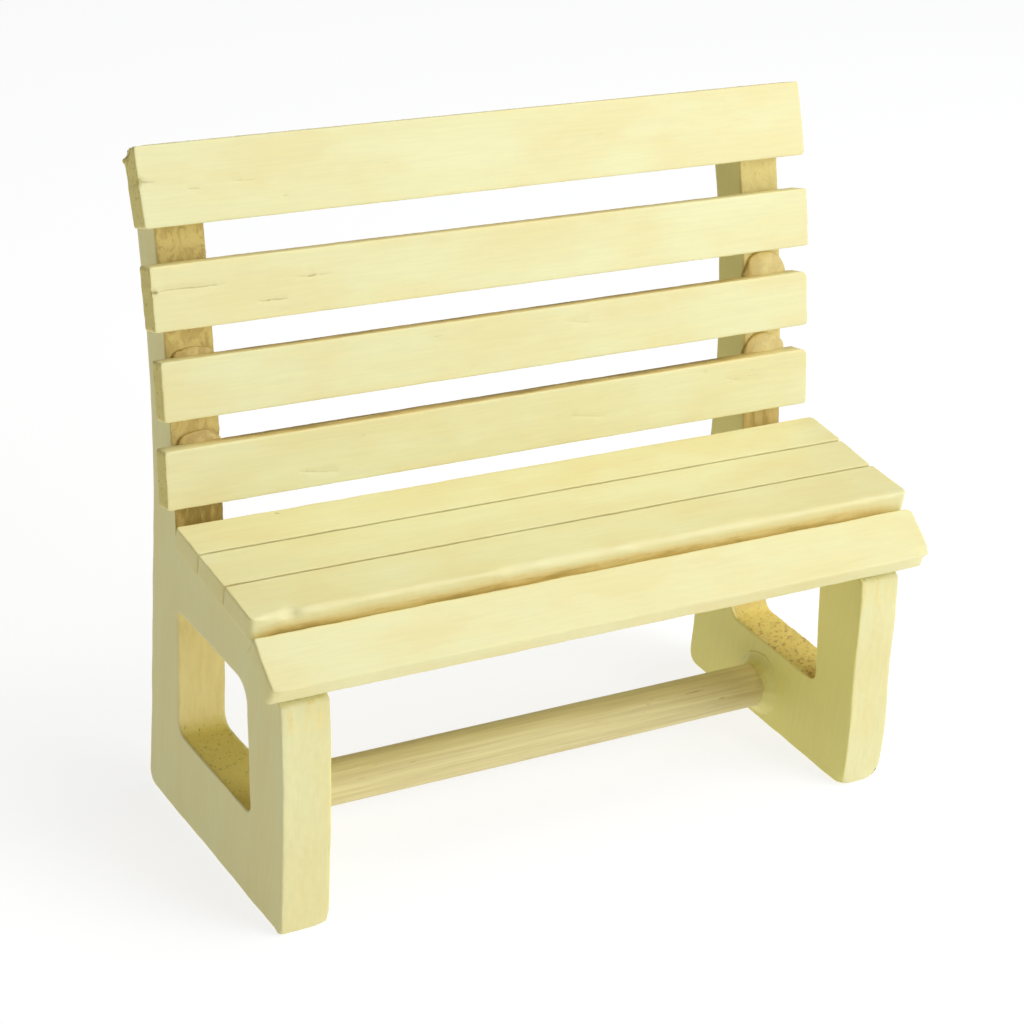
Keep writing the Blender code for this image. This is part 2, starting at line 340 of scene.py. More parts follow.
def in_wood(points, loops):
    """True for points inside the outline and outside its holes."""
    inside = np.zeros(len(points), bool)
    for loop in loops:
        after = np.roll(loop, -1, axis=0)
        for (x0, y0), (x1, y1) in zip(loop, after):
            crosses = (y0 > points[:, 1]) != (y1 > points[:, 1])
            if y0 != y1:
                left = points[:, 0] < (x1 - x0) * (points[:, 1] - y0) / (y1 - y0) + x0
                inside ^= crosses & left
    return inside

# %% [markdown]
# ## Unevenness
#
# Nothing that is sawn and rubbed down by hand is quite straight. Plain random numbers would make
# it bristle, so all unevenness below comes from smooth noise, which changes slowly from place to
# place. A seed picks another stretch of the same noise. No two parts are alike then, and every
# run of the lesson still makes the same bench.

# %% Wobble
def wobble(points, size, seed):
    """Smooth random numbers from -1 to 1 at 3-D points in mm; size is the ripple's length."""
    shift = Vector((seed * 17.3, seed * 5.1, seed * 9.7))
    return np.array([noise.noise(Vector(p) / size + shift) for p in points])

# %% [markdown]
# ## Marks in a face
#
# Pale wood this small still shows a few fine cracks and flecks along its grain. Each one is a
# real groove: a row of points along the middle of the crack that is pushed into the face, with
# a row on either side that stays level. The depth is also stored on the points, so the finish
# can be darker down in the groove.

# %% Lay out a crack
CRACK_STEP = 0.2


def crack_points(crack, seed):
    """Rows of (u, v, depth) along one crack, given as (u, v, length, slope, width, depth)."""
    u, v, length, slope, width, depth = crack
    count = max(6, int(length / CRACK_STEP))
    share = np.linspace(0, 1, count)
    taper = np.sin(np.pi * share) ** 0.6
    places = np.column_stack([u + length * share, v + slope * length * share, 0 * share])
    places[:, 1] += 0.1 * wobble(places, 1.3, seed) * min(1, length / 3)
    middle = places.copy()
    middle[:, 2] = depth * taper * np.clip(0.7 + 0.6 * wobble(places, 0.6, seed + 3), 0, 2)
    side = np.column_stack([0 * share, 0.5 * width * (0.35 + taper), 0 * share])
    return np.vstack([middle, places + side, places - side])

# %% [markdown]
# ## Filling a face
#
# Just inside the outline lie two rows of points, which keep the worn band along the edges fine.
# A loose grid covers the rest, and the cracks replace whatever grid points they cross. The
# triangles come back over the holes as well, so those with their middle outside the wood are
# dropped.

# %% Points of a face
FACE_INSETS = (0.3, 0.8)


def face_points(loops, grid, cracks, seed):
    """Loose points of a face, as rows of (u, v, depth)."""
    chosen = []
    for inset in FACE_INSETS:
        for loop in loops:
            row = loop - loop_normals(loop) * inset
            chosen.append(row[nearest(row, loops) > inset * 0.93])
    low = np.vstack(loops).min(axis=0)
    high = np.vstack(loops).max(axis=0)
    across = np.arange(low[0] + grid / 2, high[0], grid)
    up = np.arange(low[1] + grid / 2, high[1], grid)
    lattice = np.array([(x, y) for x in across for y in up])
    chosen.append(lattice[nearest(lattice, loops) > FACE_INSETS[-1] + grid / 2])
    points = np.vstack(chosen)
    points = points[in_wood(points, loops)]
    points = np.column_stack([points, np.zeros(len(points))])
    for number, crack in enumerate(cracks):
        groove = crack_points(crack, seed + number)
        inside = in_wood(groove[:, :2], loops) & (nearest(groove[:, :2], loops) > 0.08)
        groove = groove[inside]
        apart = nearest(points[:, :2], [groove[:, :2]]) > 0.22
        points = np.vstack([points[apart], groove])
    return points

# %% Triangles of a face
def fill_face(loops, points):
    """Triangles over the wood. Numbers below the loops' total mean loop points, in order."""
    every = np.vstack([*loops, points[:, :2]])
    edges = []
    first = 0
    for loop in loops:
        count = len(loop)
        edges += [(first + k, first + (k + 1) % count) for k in range(count)]
        first += count
    filled = delaunay_2d_cdt([Vector(p) for p in every], edges, [], 0, 1e-6)
    spots = np.array([v[:] for v in filled[0]])
    triangles = np.array(filled[2])
    triangles = triangles[in_wood(spots[triangles].mean(axis=1), loops)]
    sources = np.array([ids[0] for ids in filled[3]])
    return sources[triangles]

# %% [markdown]
# ## Winding the rim
#
# The rim is a set of rings round each outline: a rounded arris, the sawn edge, and the other
# arris. How far an arris is rubbed down changes from place to place, as it does when a part
# this small is cleaned up with a scrap of sandpaper.

# %% Section of a rim
ARC_STEPS = 4


def rim_profile(radius_front, radius_back, thickness, rows):
    """(inset, height, lean) of each ring: lean is 1 on the front face and -1 on the back."""
    quarter = np.linspace(0, math.pi / 2, ARC_STEPS + 1)
    half = thickness / 2
    front = [
        (radius_front * (1 - math.sin(a)), half - radius_front * (1 - math.cos(a)), math.cos(a))
        for a in quarter
    ]
    back = [
        (radius_back * (1 - math.sin(a)), radius_back * (1 - math.cos(a)) - half, -math.cos(a))
        for a in quarter[::-1]
    ]
    top = front[-1][1]
    bottom = back[0][1]
    middle = [(0, top + (bottom - top) * (i + 1) / (rows + 1), 0) for i in range(rows)]
    return front + middle + back

# %% Width of an arris
def widest_arris(loop):
    """The largest arris that fits round each outward bend of a loop, in mm."""
    before = loop - np.roll(loop, 1, axis=0)
    after = np.roll(before, -1, axis=0)
    lengths = np.hypot(*before.T) * np.hypot(*after.T)
    sine = (before[:, 0] * after[:, 1] - before[:, 1] * after[:, 0]) / lengths
    turn = np.arcsin(np.clip(sine, -1, 1))
    widest = 0.65 * np.sqrt(lengths) / np.maximum(turn, 0.01)
    for _ in range(3):
        widest = np.minimum(widest, np.minimum(np.roll(widest, 1), np.roll(widest, -1)))
    return widest


def rubbed_arris(loop, arris, seed):
    """An arris of uneven width, smooth along the loop, that fits round its corners."""
    places = np.column_stack([loop, np.zeros(len(loop))])
    widths = arris * np.clip(1 + 0.7 * wobble(places, 4.0, seed), 0.5, 1.6)
    widths = np.minimum(widths, widest_arris(loop))
    return (np.roll(widths, 1) + 2 * widths + np.roll(widths, -1)) / 4

# %% Wind the rings
def wind_rim(loop, thickness, arris, rows, seed):
    """Points (u, v, w) and outward directions of the rings round one loop."""
    normals = loop_normals(loop)
    front = rubbed_arris(loop, arris[0], seed)
    back = rubbed_arris(loop, arris[1], seed + 1)
    points = []
    outward = []
    for k, (spot, normal) in enumerate(zip(loop, normals)):
        for inset, height, lean in rim_profile(front[k], back[k], thickness, rows):
            level = math.sqrt(max(0, 1 - lean * lean))
            points.append((*(spot - normal * inset), height))
            outward.append((*(normal * level), lean))
    shape = (len(loop), -1, 3)
    return np.array(points).reshape(shape), np.array(outward).reshape(shape)

# %% [markdown]
# ## From outline to finished mesh
#
# A mesh is a list of points and a list of faces. The finish needs more than that, so a few
# numbers are stored on every point for it to read: `sawn` on the edge, `end_grain` where the
# fibres are cut across, `edge` for the distance to the nearest arris, and `dark` inside a crack.
# Each board adds its own: `bare` where the wash is missing, a number for where the wash is thin,
# `torn` where the surface was ripped rather than cut, and a number for where the wood is brown,
# from dirt and pits, or darkened with painted shade. The side boards also add painted shade to
# `dark` high up on their inner faces, and on those faces the thin wash also stands in for warm
# light bounced between the parts.

# %% A smooth piece with stored numbers
def smooth_piece(name, points, faces, numbers):
    """A smooth-shaded piece. Each stored number is one value for all points, or one for each."""
    mesh = bpy.data.meshes.new(name)
    mesh.from_pydata(points, [], faces)
    for label, values in numbers.items():
        stored = mesh.attributes.new(label, "FLOAT", "POINT")
        stored.data.foreach_set("value", np.full(len(points), values, np.float32))
    mesh.shade_smooth()
    mesh.update()
    made = bpy.data.objects.new(name, mesh)
    bpy.context.scene.collection.objects.link(made)
    return made


def board_piece(name, placed, points, faces, numbers):
    """A board whose points are given along its own three axes, in mm from its corner."""
    along, across, out = (np.array(axis) for axis in placed["axes"])
    spots = points[:, :1] * along + points[:, 1:2] * across + points[:, 2:] * out
    spots = np.array(placed["corner"]) + spots * MM
    return smooth_piece(name, spots.tolist(), faces, numbers)

# %% [markdown]
# ## Wear
#
# Two things move the points of a finished board. Weathering leaves the flat faces nearly flat
# and makes the sawn edges a little furry. A nick pushes the points near one place inwards, and
# a splinter is a nick with a negative depth, which pushes them out. Both are real geometry, so
# they show in the outline of the board as well.

# %% Weather and nick a board
FACE_WAVE = 0.015


def press_nicks(points, outward, nicks, seed):
    """Moves points in by depth mm round each nick (u, v, w, depth, reach)."""
    for number, (u, v, w, depth, reach) in enumerate(nicks):
        apart = np.linalg.norm(points - np.array((u, v, w)), axis=1) / reach
        near = apart < 2.5
        push = depth * np.exp(-(apart[near] ** 2))
        push *= 1 + 0.5 * wobble(points[near], 0.5, seed + number)
        points[near] -= outward[near] * push[:, None]


def weather(points, outward, sawn, rough, seed):
    """Leaves the faces nearly flat, with the sawn edge a little furry."""
    slow = FACE_WAVE * wobble(points, 14.0, seed)
    fine = rough * sawn * wobble(points, 0.7, seed + 5)
    fine += 0.6 * rough * sawn * wobble(points, 0.3, seed + 6)
    points += outward * (slow + fine)[:, None]

# %% [markdown]
# ## Rims and faces together
#
# A board has a band of rings round its outline and one round each hole. Each point remembers
# which loop it winds round, so the finish can tell the inside of a window from the outside of
# the board. A flat face is filled up to the bands' own first or last ring, and shares its
# points, so nothing can gape between them.

# %% Rims and faces of a board
def join_rings(count, rings, first, closed=False):
    """Four-sided faces between the rings of one loop; closed joins the last to the first."""
    quads = []
    for k in range(count):
        here = first + k * rings
        there = first + (k + 1) % count * rings
        for j in range(rings if closed else rings - 1):
            after = (j + 1) % rings
            quads.append((here + j, here + after, there + after, there + j))
    return quads


def all_rims(loops, thickness, arris, rows, seed):
    """The rings of every loop: points, outward directions, loop numbers, faces and the rings."""
    points = []
    outward = []
    owner = []
    quads = []
    rims = []
    total = 0
    for number, loop in enumerate(loops):
        rim, direction = wind_rim(loop, thickness, arris, rows, seed + 11 * number)
        quads += join_rings(len(loop), rim.shape[1], total)
        rims.append((total, rim))
        points.append(rim.reshape(-1, 3))
        outward.append(direction.reshape(-1, 3))
        owner.append(np.full(len(points[-1]), number))
        total += len(points[-1])
    return np.vstack(points), np.vstack(outward), np.concatenate(owner), quads, rims


def flat_face(rims, total, side, grid, cracks, seed):
    """Loose points, their distance from the arris, and triangles of one flat face."""
    ring = 0 if side > 0 else -1
    inner = [rim[:, ring, :2] for _, rim in rims]
    numbers = [
        first + np.arange(len(rim)) * rim.shape[1] + ring % rim.shape[1] for first, rim in rims
    ]
    loose = face_points(inner, grid, cracks, seed)
    index = np.concatenate([*numbers, total + np.arange(len(loose))])
    corners = index[fill_face(inner, loose)]
    if side < 0:
        corners = corners[:, ::-1]
    return loose, nearest(loose[:, :2], inner), corners.tolist()

# %% [markdown]
# ## One saw for every board
#
# `cut_board` works in a fixed order: rims, two faces with the cracks in the front one, stored
# numbers, weathering, nicks, and last the skew that sets a board a little out of square. The
# numbers are taken before anything is moved, because they depend on where a point lies on the
# clean board.

# %% Cut a board
def cut_board(name, placed, loops, thickness, arris, grain, seed, rows=6, grid=1.1, rough=0.03,
              cracks=(), nicks=(), stains=None, skew=(0, 0, 0)):
    """A sawn and rubbed-down board. Grain is the fibre direction in the board's own (u, v).

    Skew moves the board out by skew[0] mm, and by skew[1] and skew[2] more for each mm of u and v.
    """
    points, outward, owner, faces, rims = all_rims(loops, thickness, arris, rows, seed)
    edge_gap = np.zeros(len(points))
    dark = np.zeros(len(points))
    for side, marks in ((1, cracks), (-1, ())):
        loose, gap, triangles = flat_face(rims, len(points), side, grid, marks, seed + 20 + side)
        height = side * (thickness / 2 - loose[:, 2])
        points = np.vstack([points, np.column_stack([loose[:, :2], height])])
        outward = np.vstack([outward, np.tile((0.0, 0.0, side), (len(loose), 1))])
        owner = np.append(owner, np.full(len(loose), -1))
        edge_gap = np.append(edge_gap, gap)
        dark = np.append(dark, np.clip(loose[:, 2] / 0.12, 0, 1))
        faces += triangles
    stored = {
        "sawn": 1 - np.abs(outward[:, 2]),
        "end_grain": np.abs(outward[:, :2] @ np.array(grain)),
        "edge": edge_gap,
        "dark": dark,
    }
    stored.update(stains(points, outward, owner))
    furry = stored["sawn"] + 1.5 * stored.get("torn", 0)
    weather(points, outward, furry, rough, seed)
    press_nicks(points, outward, nicks, seed)
    points[:, 2] += skew[0] + skew[1] * points[:, 0] + skew[2] * points[:, 1]
    return board_piece(name, placed, points, faces, stored)

# %% [markdown]
# ## Grain
#
# Wood is made of fibres that all run one way. Noise that is stretched along that way and squeezed
# across it looks like them: much stretched for fibres, less for pores, and hardly at all for
# clouds in the wash. The noise is three-dimensional, so the grain goes on round every edge, as
# if the part had been cut out of a block.

# %% Noise along the grain
def grain_space(tree, along, stretch, fine):
    """Object coordinates, with a unit of stretch mm along the grain and fine mm across it."""
    place = add(tree, "TexCoord").outputs["Object"]
    scale = [1000 / fine] * 3
    scale[along] = 1000 / stretch
    return add(tree, "Mapping", {"Vector": place, "Scale": scale}).outputs[0]


def grain_noise(tree, along, stretch, fine, detail=2.0, roughness=0.5, distortion=0.0):
    """Noise from 0 to 1 that is drawn out along the grain."""
    space = grain_space(tree, along, stretch, fine)
    inputs = {"Vector": space, "Scale": 1.0, "Detail": detail, "Roughness": roughness,
              "Distortion": distortion}
    return add(tree, "TexNoise", inputs).outputs["Fac"]

# %% [markdown]
# ## A thin wash on pale wood
#
# The bench wears a thin cream wash: faint clouds of three creams, soft fibres that show through,
# and a few short dark pores. Where the wash is missing, the wood is a pale tan, golden and
# pitted where the fibres are cut across, and blotched where it tore. Wash and wood are each
# made as a colour and a relief, so that they can be laid one over the other later.

# %% Colours of the wash and the wood
CREAM = (0.79, 0.735, 0.365, 1)
PALE_CREAM = (0.805, 0.77, 0.42, 1)
WARM_CREAM = (0.79, 0.70, 0.335, 1)
# a thinner, more yellow wash; on the inner faces of the side boards it also stands in for warm light
# bounced between the parts
THIN_WASH_AND_BOUNCE = (0.78, 0.71, 0.22, 1)
PALE_TAN = (0.94, 0.81, 0.37, 1)
GOLD_TAN = (0.58, 0.40, 0.13, 1)
BARE_TAN = (0.74, 0.57, 0.21, 1)
END_GOLD = (0.73, 0.61, 0.165, 1)
# amber and brown for dirt and pits, and for painted shade as well
AMBER = (0.76, 0.55, 0.17, 1)
SHADE_AND_DIRT_BROWN = (0.38, 0.26, 0.05, 1)
# the darkest brown, for pores, pits and cracks, and for painted shade
DARK_BROWN = (0.26, 0.16, 0.04, 1)

# %% The wash
def grey(tree, value):
    """A grey whose three channels follow one number."""
    return add(tree, "CombineColor", {0: value, 1: value, 2: value}).outputs[0]


def cream_wash(tree, along, patches):
    """The thin wash: three creams in soft clouds, faint fibres and a few short pores."""
    clouds = grain_noise(tree, along, 16, 7, 4, 0.55)
    fibres = grain_noise(tree, along, 7, 0.4, 4, 0.6)
    bands = grain_noise(tree, along, 45, 2.6, 3, 0.55, 0.4)
    pores = grain_noise(tree, along, 2.6, 0.2, 2, 0.6)
    wash = blend(tree, step_up(tree, clouds, 0.34, 0.68), WARM_CREAM, PALE_CREAM)
    wash = blend(tree, step_up(tree, bands, 0.35, 0.7, 0.0, 0.4), wash, CREAM)
    wash = blend(tree, worn(tree, "thin"), wash, THIN_WASH_AND_BOUNCE)
    wash = blend(tree, 1.0, wash, grey(tree, step_up(tree, fibres, 0.3, 0.7, 0.975, 1.015)), "MULTIPLY")
    open_pores = times(tree, step_up(tree, pores, 0.66, 0.8),
                           step_up(tree, patches, 0.5, 0.68))
    wash = blend(tree, times(tree, open_pores, 0.28), wash, DARK_BROWN)
    relief = math_node(tree, "ADD", times(tree, fibres, 0.35),
                       times(tree, clouds, 0.5))
    relief = math_node(tree, "SUBTRACT", relief, times(tree, open_pores, 0.8))
    return wash, relief, fibres

# %% The bare wood
def bare_wood(tree, along):
    """Unwashed wood: pale tan, golden and pitted on end grain, blotched brown where it tore."""
    tone = grain_noise(tree, along, 7, 1.0, 4, 0.6)
    pits = grain_noise(tree, along, 0.9, 0.4, 3, 0.65)
    blotch = grain_noise(tree, along, 2.6, 1.9, 4, 0.6, 0.7)
    torn = worn(tree, "torn")
    rough_tan = blend(tree, step_up(tree, blotch, 0.38, 0.62), GOLD_TAN, BARE_TAN)
    tan = blend(tree, step_up(tree, tone, 0.3, 0.7, 0.0, 0.35), PALE_TAN, BARE_TAN)
    tan = blend(tree, torn, tan, rough_tan)
    tan = blend(tree, worn(tree, "end_grain"), tan, END_GOLD)
    deep_pits = times(tree, step_up(tree, pits, 0.58, 0.7), worn(tree, "end_grain"))
    tan = blend(tree, times(tree, deep_pits, 0.6), tan, DARK_BROWN)
    ridge = math_node(tree, "ABSOLUTE", math_node(tree, "SUBTRACT", blotch, 0.46))
    rips = step_up(tree, ridge, 0.0, 0.035, 1.0, 0.0)
    rips = times(tree, rips, step_up(tree, tone, 0.42, 0.6, 0.9, 0.0))
    rips = times(tree, rips, torn)
    tan = blend(tree, times(tree, rips, 0.35), tan, DARK_BROWN)
    relief = math_node(tree, "ADD", tone, times(tree, blotch,
                                                    times(tree, torn, 5.0)))
    relief = math_node(tree, "SUBTRACT", relief, times(tree, deep_pits, 3.0))
    return tan, relief, tone

# %% [markdown]
# ## The wood finish
#
# The number `bare` on the mesh says where the wash is missing. Ragged noise is added to it
# before it counts, so the border of the wash is never a clean line. Rubbed arrises, sawn edges
# and cut ends bare some wood as well, and the strongest of the four wins. Brown dirt and pits,
# painted shade and dark cracks lie on top. The fibres are a bump, as they are too fine to be
# worth real geometry. One function makes the finish for the strips, whose grain runs along x,
# and for the upright side boards.

# %% The wood finish
def dirt_and_shade_over(tree, colour, tone):
    """Amber to brown over a colour where the mesh says so: real dirt and pits, and painted shade."""
    amount = worn(tree, "dirt_and_shade")
    patchy = math_node(tree, "MULTIPLY", amount, step_up(tree, tone, 0.25, 0.7, 1.25, 0.7), clamp=True)
    dirt = blend(tree, step_up(tree, patchy, 0.45, 0.95), AMBER, SHADE_AND_DIRT_BROWN)
    return blend(tree, step_up(tree, patchy, 0.1, 0.7, 0.0, 0.9), colour, dirt)


def washed_wood(name, along, edge_tan, end_tan):
    """Pale wood under a thin cream wash, with its grain along x, y or z (0, 1 or 2)."""
    finish, tree = new_finish(name)
    patches = grain_noise(tree, along, 20, 5, 3)
    wash, wash_relief, fibres = cream_wash(tree, along, patches)
    tan, tan_relief, tone = bare_wood(tree, along)
    ragged = times(tree, math_node(tree, "SUBTRACT", tone, 0.5), 0.7)
    naked = step_up(tree, math_node(tree, "ADD", worn(tree, "bare"), ragged), 0.35, 0.6)
    sawn = times(tree, worn(tree, "sawn"), step_up(tree, tone, 0.3, 0.7, 0, 2 * edge_tan))
    cut_end = times(tree, worn(tree, "end_grain"), end_tan)
    rub = times(tree, step_up(tree, worn(tree, "edge"), 0.0, 0.6, 1.0, 0.0),
                    step_up(tree, patches, 0.45, 0.7, 0.0, 0.25))
    bared = math_node(tree, "MAXIMUM", math_node(tree, "MAXIMUM", naked, rub),
                      math_node(tree, "MAXIMUM", sawn, cut_end))
    colour = dirt_and_shade_over(tree, blend(tree, bared, wash, tan), tone)
    # dark cracks, and painted shade high on the inner faces of the side boards
    colour = blend(tree, times(tree, worn(tree, "dark"), 0.8), colour, DARK_BROWN)
    relief = math_node(tree, "ADD", wash_relief, times(tree, tan_relief, bared))
    bump = add(tree, "Bump", {"Strength": 0.5, "Distance": 0.06 * MM, "Height": relief})
    rough = math_node(tree, "ADD", times(tree, bared, 0.2),
                      step_up(tree, fibres, 0.3, 0.7, 0.48, 0.58))
    surface = {"Base Color": colour, "Roughness": rough, "Normal": bump.outputs[0],
               "Specular IOR Level": 0.45}
    shader = add(tree, "BsdfPrincipled", surface)
    add(tree, "OutputMaterial", {"Surface": shader.outputs[0]})
    return finish


slat_wood = washed_wood("washed_slat_wood", 0, 0.15, 0.85)
board_wood = washed_wood("washed_board_wood", 2, 0.08, 0.2)
print("wood finishes:", slat_wood.name, board_wood.name)

# %% [markdown]
# ## The eight strips
#
# Four slats make the back, three the seat, and a tilted board closes the seat's front. They
# were sawn by hand from much the same stock, so no two have quite the same corners. A strip's
# outline is a rectangle whose four corners each have a radius and a small shift of their own.

# %% The outline of a strip
CORNER_STEPS = 6


def strip_outline(length, width, shifts, radii, seed):
    """The outline, anticlockwise from the lower left corner, with slightly uneven saw cuts."""
    corners = [(0, 0, 180), (length, 0, 270), (length, width, 0), (0, width, 90)]
    inward = [(1, 1), (-1, 1), (-1, -1), (1, -1)]
    points = []
    for (x, y, start), (sx, sy), (longer, wider), radius in zip(corners, inward, shifts, radii):
        x -= sx * longer
        y -= sy * wider
        for step in range(CORNER_STEPS + 1):
            angle = math.radians(start + 90 * step / CORNER_STEPS)
            cx = x + sx * radius
            cy = y + sy * radius
            points.append((cx + radius * math.cos(angle), cy + radius * math.sin(angle)))
    loop = even_loop(np.array(points), 0.33)
    normals = loop_normals(loop)
    places = np.column_stack([loop, np.zeros(len(loop))])
    sides = np.abs(normals[:, :1])
    shift = 0.02 * wobble(places, 11, seed) + 0.07 * sides[:, 0] * wobble(places, 1.5, seed + 1)
    return loop + normals * shift[:, None]


# %% [markdown]
# ## What sets the strips apart
#
# The values that differ from strip to strip stand in tables, in mm, with one row for a strip.
# That keeps the functions short, and a row can be changed without touching any of them. An
# arris is the line where two faces meet: the seat's front one is rubbed well round, where legs
# would brush it.

# %% Arrises, corners and thickness of the strips
# how far the arrises were rubbed down at the ends, along the upper edge and the lower edge
STRIP_ARRIS = {
    "seat_slat_1": (0.16, 0.25, 0.1),
    "seat_slat_2": (0.16, 0.1, 0.1),
    "seat_slat_3": (0.22, 0.1, 0.8),
    "front_board": (0.3, 0.3, 0.35),
}
# how far each corner lies outside the plain strip, along and across: lower left, lower right,
# upper right, upper left
STRIP_SHIFTS = {
    "back_slat_1": ((0.35, 0.0), (0.1, 0.0), (-0.25, 0.2), (0.7, 0.1)),
    "back_slat_2": ((0.35, 0.15), (0.05, 0.1), (0.05, 0.3), (0.45, 0.35)),
    "back_slat_3": ((0.05, 0.0), (-0.2, -0.15), (-0.2, 0.2), (0.05, 0.0)),
    "back_slat_4": ((0.05, 0.0), (-0.2, 0.0), (-0.2, 0.35), (0.05, 0.0)),
    "seat_slat_1": ((0, -0.5), (0, -0.3), (0, 0), (0, 0)),
    "seat_slat_2": ((0, -0.5), (0, -0.5), (0, 0.3), (0, 0.5)),
    "seat_slat_3": ((0.1, 0), (0.6, 0), (0.2, 0.5), (0, 0.5)),
    "front_board": ((0.3, 0), (0.45, 0), (0.9, 0), (0.05, 0)),
}
# how much thinner a strip is than its plain shape, or thicker if below 0; its back stays put
STRIP_THINNER = {"back_slat_1": -0.3, "back_slat_3": 0.6, "back_slat_4": 0.35}
# corner radii: lower left, lower right, upper right, upper left
STRIP_CORNERS = {
    "back_slat_1": (0.35, 0.6, 0.3, 0.3),
    "back_slat_2": (0.3, 0.35, 0.25, 0.25),
    "back_slat_3": (0.3, 0.4, 1.0, 0.3),
    "back_slat_4": (0.3, 0.4, 1.0, 0.3),
    "seat_slat_1": (0.2, 0.2, 0.8, 0.5),
    "seat_slat_2": (0.2, 0.2, 0.2, 0.2),
    "seat_slat_3": (0.6, 0.9, 0.2, 0.2),
    "front_board": (0.5, 0.7, 1.1, 0.4),
}


def strip_arris(name, outline, length):
    """Arris widths round a strip, for its front face and its back face."""
    ends, upper, lower = STRIP_ARRIS.get(name, (0.16, 0.2, 0.2))
    normals = loop_normals(outline)
    widths = np.where(normals[:, 1] > 0, upper, lower)
    from_end = np.minimum(outline[:, 0], length - outline[:, 0])
    share = np.clip(from_end / 2.5, 0, 1)
    front = ends + (widths - ends) * share
    return front, np.minimum(front, 0.3)


# %% [markdown]
# ## Marks on the strips
#
# Each crack, nick and splinter has its own place, because a few marks that sit where real ones
# would do more than a hundred at random. Cracks run nearly along the grain and often start at
# an end. Nicks sit on corners, which take the knocks.

# %% Cracks and nicks of the strips
# cracks: start along, start up, length, slope, width, depth
STRIP_CRACKS = {
    "back_slat_1": (
        (-0.3, 5.75, 1.9, -0.1, 0.3, 0.08),
        (5.8, 4.4, 1.8, -0.08, 0.2, 0.05),
        (11.5, 4.85, 3.6, -0.08, 0.16, 0.05),
        (18.6, 2.2, 0.6, 0.1, 0.25, 0.07),
    ),
    "back_slat_2": (
        (-0.3, 5.0, 10.1, -0.012, 0.2, 0.09),
        (-0.3, 4.85, 0.8, 0.0, 0.5, 0.2),
        (19.4, 4.6, 5.1, -0.02, 0.18, 0.06),
        (20.9, 4.5, 1.5, 0.06, 0.3, 0.14),
        (13.8, 2.2, 4.4, -0.04, 0.26, 0.11),
    ),
    "back_slat_3": ((59.0, 5.7, 4.2, -0.19, 0.15, 0.04),),
    "back_slat_4": (
        (18.4, 2.35, 5.8, -0.14, 0.18, 0.06),
        (85.6, 5.5, 2.6, -0.22, 0.16, 0.03),
        (59.8, 3.85, 5.8, -0.16, 0.14, 0.04),
    ),
    "seat_slat_1": ((13.4, 6.5, 0.8, -0.5, 0.4, 0.12),),
}
# nicks: along, up, out from the middle plane, depth (splinters stand out, below 0), reach
STRIP_NICKS = {
    "back_slat_1": (
        (-0.6, 10.1, -1.7, 1.2, 1.2),
        (-0.6, 10.1, -0.7, 0.5, 0.8),
        (-0.4, 5.8, 1.7, 0.3, 0.4),
        (-0.5, 8.4, -1.5, -0.5, 0.4),
        (100.0, 7.4, 0.6, -0.7, 0.3),
        (100.0, 9.0, 0.8, 0.35, 0.5),
    ),
    "back_slat_2": ((-0.3, 4.9, 1.5, 0.3, 0.3),),
    "seat_slat_3": ((5.5, 0.0, 1.5, 0.5, 0.9), (4.6, 0.2, 1.55, 0.25, 0.5)),
    "front_board": ((100.0, 0.0, 0.5, 0.6, 1.3), (0.0, 0.0, 1.0, 0.2, 0.6)),
}


# %% [markdown]
# ## Brown edges and painted shade on the strips
#
# The upper edges of the back slats are brown. The brown is stronger on the lower slats and
# towards the back of the edge, and there is hardly any near the ends. The last seat slat is
# darkened with painted shade under its rounded front, where it meets the front board. The ends
# of the seat strips took the wash better than those of the back slats.

# %% Brown edges and painted shade of the strips
# how brown the upper edges of the back slats are
UPPER_EDGE_BROWN = {"back_slat_1": 0.25, "back_slat_2": 0.55, "back_slat_3": 0.95, "back_slat_4": 1.1}


def strip_stains(name, length, thickness):
    """A function that tells where a strip is brown or darkened with painted shade, and how well its
    ends took the wash.
    """

    def stains(points, outward, owner):
        from_end = np.minimum(points[:, 0], length - points[:, 0])
        depth = thickness / 2 - points[:, 2]
        found = {"dirt_and_shade": np.zeros(len(points)), "thin": np.zeros(len(points))}
        # the upper edges of the back slats are browner towards the back of the edge and away from the
        # ends
        if name in UPPER_EDGE_BROWN:
            middle = np.clip(from_end / 14, 0.05, 1)
            behind = 0.35 + 0.65 * np.clip(depth / thickness, 0, 1)
            found["dirt_and_shade"] = UPPER_EDGE_BROWN[name] * middle * behind * np.clip(outward[:, 1], 0, 1)
        else:
            found["end_grain"] = 0.15 * np.abs(outward[:, 0])
            found["thin"] = 0.5 * np.abs(outward[:, 0])
        # painted shade: the lower part of the last seat slat's front edge is browned, where it meets
        # the front board
        if name == "seat_slat_3":
            below = 0.6 * np.clip((depth - 0.45) / 1.5, 0, 1) * np.clip(-outward[:, 1] * 1.5, 0, 1)
            found["dirt_and_shade"] = below * np.clip(0.35 + from_end / 6, 0, 1)
        return found

    return stains


# %% Cut the strips
def cut_strip(name, number):
    """One finished strip in the place of the plain one."""
    strip = strips[name]
    length, width, thickness = strip["size"]
    outline = strip_outline(length, width, STRIP_SHIFTS[name], STRIP_CORNERS[name], 40 + number)
    thinner = STRIP_THINNER.get(name, 0)
    made = cut_board(
        "worn_" + name,
        strip,
        [outline],
        thickness - thinner,
        strip_arris(name, outline, length),
        (1, 0),
        100 + 13 * number,
        cracks=STRIP_CRACKS.get(name, ()),
        nicks=STRIP_NICKS.get(name, ()),
        stains=strip_stains(name, length, thickness),
        skew=(-thinner / 2, 0, 0),
    )
    made.data.materials.append(slat_wood)
    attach(made, "root")
    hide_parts(name)
    return made


